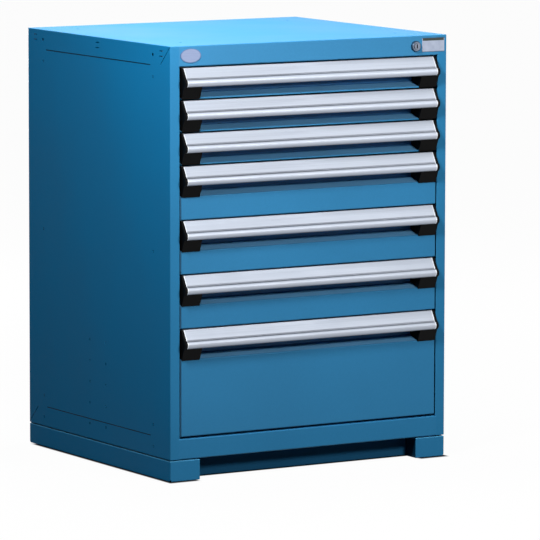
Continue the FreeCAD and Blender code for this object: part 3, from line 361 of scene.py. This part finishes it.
def plastic(name, colour, roughness, grain, gloss):
    """Moulded plastic with a fine spark-eroded grain. Roughness is a low and a high value."""
    nodes = Nodes(bpy.data.materials.new(name))
    place = nodes.coordinates()
    fine = nodes.noise(place, scale=900, roughness=0.6)
    cloud = nodes.noise(place, scale=20)
    return nodes.surface({
        "Base Color": nodes.shades(cloud, scaled(colour, PLASTIC_DARK), scaled(colour, PLASTIC_LIGHT)),
        "Roughness": nodes.between(fine, *roughness),
        "Specular IOR Level": gloss,
        "Normal": nodes.bump(fine, strength=grain, distance=0.0003),
    })


def zinc(name, level=1.0):
    """Zinc plate with faint mottling and rolling marks, made darker by a level below 1."""
    nodes = Nodes(bpy.data.materials.new(name))
    mottle = nodes.noise(nodes.coordinates(), scale=55, detail=4.0, roughness=0.6)
    marks = nodes.noise(nodes.coordinates(ROLLING), scale=1.0)
    tone = nodes.shades(mottle, scaled(ZINC_DARK, level), scaled(ZINC_LIGHT, level))
    return nodes.surface({
        "Base Color": tone,
        "Metallic": 1.0,
        "Roughness": nodes.between(mottle, 0.28, 0.44),
        "Normal": nodes.bump(marks, strength=0.06, distance=0.0003),
    })


# Lock and plates

NICKEL_DARK = (0.17, 0.20, 0.26)
NICKEL_LIGHT = (0.23, 0.26, 0.33)
# Painted reflection of the blue paint and shade round the lock, on its collar
COLLAR_REFLECTED_BLUE = (0.030, 0.060, 0.10)
SEAM_SOIL = (0.02, 0.025, 0.03)
# Painted shade in the key slot
SLOT_SHADE = (0.004, 0.004, 0.005)
BADGE_DARK = (0.21, 0.26, 0.41)
BADGE_LIGHT = (0.25, 0.31, 0.47)
BADGE_EDGE = (0.10, 0.17, 0.33)
CARD_DARK = (0.46, 0.53, 0.69)
CARD_LIGHT = (0.56, 0.63, 0.79)
CARD_BAND = (0.045, 0.055, 0.045)
CARD_EDGE = (0.05, 0.09, 0.16)

# How fine the brushing of the oval plate is along each axis
BRUSHING = (30, 1, 900)

# Key slot and collar, counted out from the middle of the lock, and the seam, to either side of its radius
SLOT_WIDTH = (0.0020, 0.0012)
SLOT_HEIGHT = (0.0052, 0.0044)
COLLAR_RADIUS = (0.0090, 0.0118)
SEAM_RADIUS = 0.0076
SEAM_WIDTH = (0.0008, 0.0002)
SEAM_SHARE = 0.5

# Rim of the oval plate, as a sum of squares that is 0 in its middle and 1 on its outline
BADGE_RIM = (0.78, 0.94)

# Band and dark edges of the card, counted out from its own edges, so they are below 0
BAND_LOW = (-0.0070, -0.0066)
BAND_END = (-0.0015, -0.0019)
CARD_LOW_EDGE = (-0.0020, -0.0010)
CARD_HIGH_EDGE = (-0.0018, -0.0010)
CARD_EDGE_SHARE = 0.8


def nickel(name):
    """Satin nickel plate, turned, with painted shade in the key slot, a collar painted with the reflection
    of the blue paint and shade round it, and soil where the plug meets its collar.
    """
    nodes = Nodes(bpy.data.materials.new(name))
    fine = nodes.noise(nodes.coordinates(), scale=600)
    across = nodes.away("X", LOCK.x)
    height = nodes.away("Z", LOCK.z)
    radius = nodes.math("SQRT", nodes.sum_of_squares(across, height))
    from_seam = nodes.math("ABSOLUTE", nodes.math("SUBTRACT", radius, SEAM_RADIUS))
    slot = nodes.math("MULTIPLY", nodes.ramp(across, SLOT_WIDTH), nodes.ramp(height, SLOT_HEIGHT))
    tone = nodes.shades(fine, NICKEL_DARK, NICKEL_LIGHT)
    tone = nodes.blend(nodes.ramp(radius, COLLAR_RADIUS), tone, COLLAR_REFLECTED_BLUE)
    tone = nodes.blend(nodes.ramp(from_seam, SEAM_WIDTH, high=SEAM_SHARE), tone, SEAM_SOIL)
    tone = nodes.blend(slot, tone, SLOT_SHADE)
    return nodes.surface({
        "Base Color": tone,
        "Metallic": 1.0,
        "Roughness": nodes.between(fine, 0.34, 0.46),
    })


def blank_badge(name):
    """Blank satin metal plate with a darker edge."""
    nodes = Nodes(bpy.data.materials.new(name))
    brushed = nodes.noise(nodes.coordinates(BRUSHING), scale=1.0, detail=3.0, roughness=0.6)
    across = nodes.math("DIVIDE", nodes.along("X", BADGE.x), BADGE_HALF.x)
    height = nodes.math("DIVIDE", nodes.along("Z", BADGE.z), BADGE_HALF.z)
    face = nodes.shades(brushed, BADGE_DARK, BADGE_LIGHT)
    rim = nodes.ramp(nodes.sum_of_squares(across, height), BADGE_RIM)
    return nodes.surface({
        "Base Color": nodes.blend(rim, face, BADGE_EDGE),
        "Metallic": 0.5,
        "Roughness": nodes.between(brushed, 0.45, 0.55),
        "Normal": nodes.bump(brushed, strength=0.08, distance=0.0002),
    })


def blank_card(name):
    """Blank card with a plain band along its top and dark upper and lower edges, under a dull film."""
    nodes = Nodes(bpy.data.materials.new(name))
    fibre = nodes.noise(nodes.coordinates(), scale=1200, detail=3.0, roughness=0.6)
    cloud = nodes.noise(nodes.coordinates(), scale=60)
    above = nodes.along("Z", CARD.z + CARD_HALF.z)
    below = nodes.math("SUBTRACT", CARD.z - CARD_HALF.z, nodes.along("Z"))
    beside = nodes.math("SUBTRACT", nodes.away("X", CARD.x), CARD_HALF.x)
    band = nodes.math("MULTIPLY", nodes.ramp(above, BAND_LOW), nodes.ramp(beside, BAND_END))
    edge = nodes.math("MAXIMUM", nodes.ramp(below, CARD_LOW_EDGE), nodes.ramp(above, CARD_HIGH_EDGE))
    tone = nodes.shades(cloud, CARD_DARK, CARD_LIGHT)
    tone = nodes.tinted(tone, nodes.between(fibre, 0.94, 1.0))
    tone = nodes.blend(band, tone, CARD_BAND)
    tone = nodes.blend(nodes.math("MULTIPLY", edge, CARD_EDGE_SHARE), tone, CARD_EDGE)
    return nodes.surface({
        "Base Color": tone,
        "Roughness": nodes.between(fibre, 0.36, 0.46),
        "Specular IOR Level": 0.3,
        "Normal": nodes.bump(fibre, strength=0.05, distance=0.0001),
    })


# Which piece wears what

SIDE_LAYERS = (marks_painted_shade, hazed_front_skin(FRONT_BLUE))

MATERIALS = {
    "housing_paint": paint("housing_paint", SIDE_IOR, SIDE_BLUE, *SIDE_LAYERS),
    "base_paint": paint("base_paint", SIDE_IOR, SIDE_BLUE, *SIDE_LAYERS, shoulder_highlight),
    "drawer_paint": paint("drawer_paint", DRAWER_IOR, FRONT_BLUE),
    "handle_aluminium": aluminium("handle_aluminium"),
    "cap_plastic": plastic("cap_plastic", CAP_BLACK, roughness=(0.45, 0.56), grain=0.15, gloss=0.07),
    "zinc_steel": zinc("zinc_steel"),
    "lock_metal": nickel("lock_metal"),
    "roller_plastic": plastic(
        "roller_plastic", ROLLER_WHITE, roughness=(0.35, 0.46), grain=0.05, gloss=0.4
    ),
    "badge_metal": blank_badge("badge_metal"),
    "card": blank_card("card"),
}

# Nodes that differ from their slot: glossier sheets, the top's strip with painted haze, a kick panel
# darkened as painted shade, posts darkened as painted shade, and recessed fronts with painted light and
# shade
OWN_MATERIALS = {
    "top_panel": paint("strip_paint", SHEET_IOR, TOP_BLUE, hazed_front_skin(STRIP_BLUE)),
    "floor_panel": paint("floor_paint", SHEET_IOR, FRONT_BLUE),
    "base_kick_panel": paint("kick_paint", SIDE_IOR, KICK_SHADE_BLUE),
    # Posts made dark as painted shade, for what shows through the side's marks
    "rail_posts": zinc("shaded_post_steel", POST_SHADE_LEVEL),
}
FRONT_PAINT = paint("front_paint", DRAWER_IOR, FRONT_BLUE, finger_recess)
for number in range(1, DRAWER_COUNT + 1):
    OWN_MATERIALS["drawer_%d_front" % number] = FRONT_PAINT


def dress_frame():
    """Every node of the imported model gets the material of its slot, or its own."""
    for part in frame["record"]["subparts"]:
        node = part["node"]
        mesh = frame["nodes"][node].data
        mesh.materials.clear()
        mesh.materials.append(OWN_MATERIALS.get(node, MATERIALS[part["material_slot"]]))


# Stage

FLOOR_REACH = 30.0
FLOOR_DROP = 0.0006
FLOOR_CORNERS = ((-1, -1), (1, -1), (1, 1), (-1, 1))

# Share of plain white in the open floor. The rest is matt and shows the lamps' light and the shadow
FLOOR_WHITE_SHARE = 0.972

# Greys of that matt rest where it is seen, and of the whole floor for the light that it gives back
FLOOR_SEEN = 0.8
FLOOR_BOUNCE_DARK = 0.05
FLOOR_BOUNCE_LIGHT = 0.06

# Where the painted contact shadow round the base starts and is full: out from the sides, back from the
# front and back skins, out from the inner side of the feet, and back from the kick panel
CONTACT_BESIDE = (0.010, 0.004)
CONTACT_FRONT = (-0.016, -0.008)
CONTACT_BACK = (-0.012, -0.035)
CONTACT_FOOT = (0.002, 0.012)
CONTACT_KICK = (-0.004, 0.0)

WORLD_COLOUR = (0.80, 0.90, 1.0)
WORLD_STRENGTH = 0.01

# Soft round lamps: name, place, radius and power
LAMPS = (
    ("key", (-0.97, -0.99, 1.92), 0.16, 94),
    ("fill", (0.58, -2.43, 1.55), 0.25, 102),
    ("top", (0.0, 0.25, 2.3), 0.35, 100),
    ("rear", (2.4, 1.5, 1.8), 0.4, 90),
    ("sheen", (1.2, 2.84, 1.6), 0.3, 3),
    ("behind", (-0.2, 3.6, 0.7), 0.2, 170),
)


def floor_contact_shadow(nodes):
    """1 where the contact shadow is painted, under the base and just beside it, and 0 on the open floor
    and in the recess between the feet.
    """
    across = nodes.away("X")
    beside = nodes.ramp(nodes.math("SUBTRACT", across, HALF_WIDTH), CONTACT_BESIDE)
    ahead = nodes.ramp(nodes.along("Y", FRONT), CONTACT_FRONT)
    behind = nodes.ramp(nodes.along("Y", BACK), CONTACT_BACK)
    feet = nodes.ramp(nodes.math("SUBTRACT", across, FOOT_INSIDE), CONTACT_FOOT)
    kick = nodes.ramp(nodes.along("Y", KICK_FACE), CONTACT_KICK)
    shown = nodes.math("MULTIPLY", nodes.math("MULTIPLY", beside, ahead), behind)
    return nodes.math("MULTIPLY", shown, nodes.math("MAXIMUM", feet, kick))


def floor_material():
    """Nearly white where it is seen, with a painted contact shadow where the base meets it, and dim in its
    bounced light.
    """
    nodes = Nodes(bpy.data.materials.new("stage_floor"))
    open_floor = nodes.math("SUBTRACT", 1.0, floor_contact_shadow(nodes))
    seen = nodes.math("MULTIPLY", nodes.showing_rays(), open_floor)
    grain = nodes.noise(nodes.coordinates(), scale=4)
    bounce = nodes.shades(grain, grey(FLOOR_BOUNCE_DARK), grey(FLOOR_BOUNCE_LIGHT))
    tone = nodes.blend(seen, bounce, grey(FLOOR_SEEN))
    matt = nodes.add("ShaderNodeBsdfDiffuse", {"Color": tone}).outputs[0]
    glow = nodes.add("ShaderNodeEmission", {"Color": grey(1), "Strength": 1.0}).outputs[0]
    share = nodes.math("MULTIPLY", seen, FLOOR_WHITE_SHARE)
    mixed = nodes.add("ShaderNodeMixShader", {0: share, 1: matt, 2: glow}).outputs[0]
    nodes.add("ShaderNodeOutputMaterial", {"Surface": mixed})
    return nodes.owner


def add_floor():
    """Wide level floor just under the cabinet."""
    mesh = bpy.data.meshes.new("stage_floor")
    points = [(x * FLOOR_REACH, y * FLOOR_REACH, 0) for x, y in FLOOR_CORNERS]
    mesh.from_pydata(points, [], [(0, 1, 2, 3)])
    mesh.materials.append(floor_material())
    floor = bpy.data.objects.new("stage_floor", mesh)
    floor.location.z = -FLOOR_DROP
    bpy.context.scene.collection.objects.link(floor)


def add_world():
    """White for what the camera and reflections see, and a low even light for the rest."""
    nodes = Nodes(bpy.data.worlds.new("studio"))
    seen = nodes.showing_rays()
    dim = nodes.add("ShaderNodeBackground", {"Color": WORLD_COLOUR, "Strength": WORLD_STRENGTH}).outputs[0]
    white = nodes.add("ShaderNodeBackground", {"Color": grey(1), "Strength": 1.0}).outputs[0]
    mixed = nodes.add("ShaderNodeMixShader", {0: seen, 1: dim, 2: white}).outputs[0]
    nodes.add("ShaderNodeOutputWorld", {"Surface": mixed})
    bpy.context.scene.world = nodes.owner


def add_lamp(name, place, radius, power):
    """Soft round lamp."""
    data = bpy.data.lights.new(name, "POINT")
    data.shadow_soft_size = radius
    data.energy = power
    lamp = bpy.data.objects.new(name, data)
    lamp.location = place
    bpy.context.scene.collection.objects.link(lamp)


add_camera()
dress_frame()
add_floor()
add_world()
for lamp in LAMPS:
    add_lamp(*lamp)

bpy.context.scene.view_settings.view_transform = "Standard"
